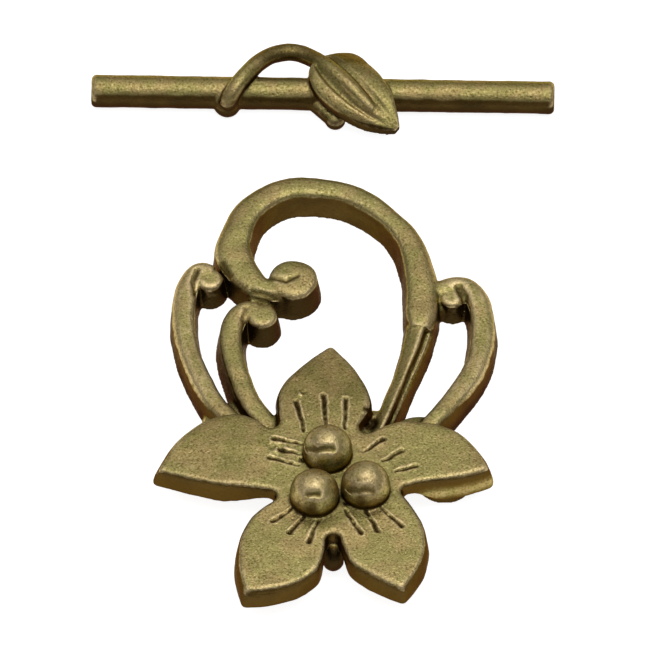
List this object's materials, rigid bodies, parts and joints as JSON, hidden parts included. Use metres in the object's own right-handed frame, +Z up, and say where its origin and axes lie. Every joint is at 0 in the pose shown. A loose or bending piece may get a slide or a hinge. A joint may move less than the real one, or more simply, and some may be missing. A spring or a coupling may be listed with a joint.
{
  "type": "toggle clasp",
  "caption": "Toggle clasp of a ring half, a scrolled loop that grows from under a five-petal flower with seed beads, and a bar half, a rod wound with a vine and a leaf.",
  "frame": {"origin": "centre of the bounding box at its bottom, on the surface that both halves lie on", "axes": "+Y from the flower towards the bar, +Z up from the surface towards the relief, +X along the bar"},
  "size_m": [0.034, 0.0521, 0.0061],
  "materials": {
    "antique_bronze": "antique bronze plating on a zinc casting, satin"
  },
  "bodies": {
    "root": {"flower_ring": "antique_bronze", "toggle_bar": "antique_bronze"}
  },
  "joints": []
}
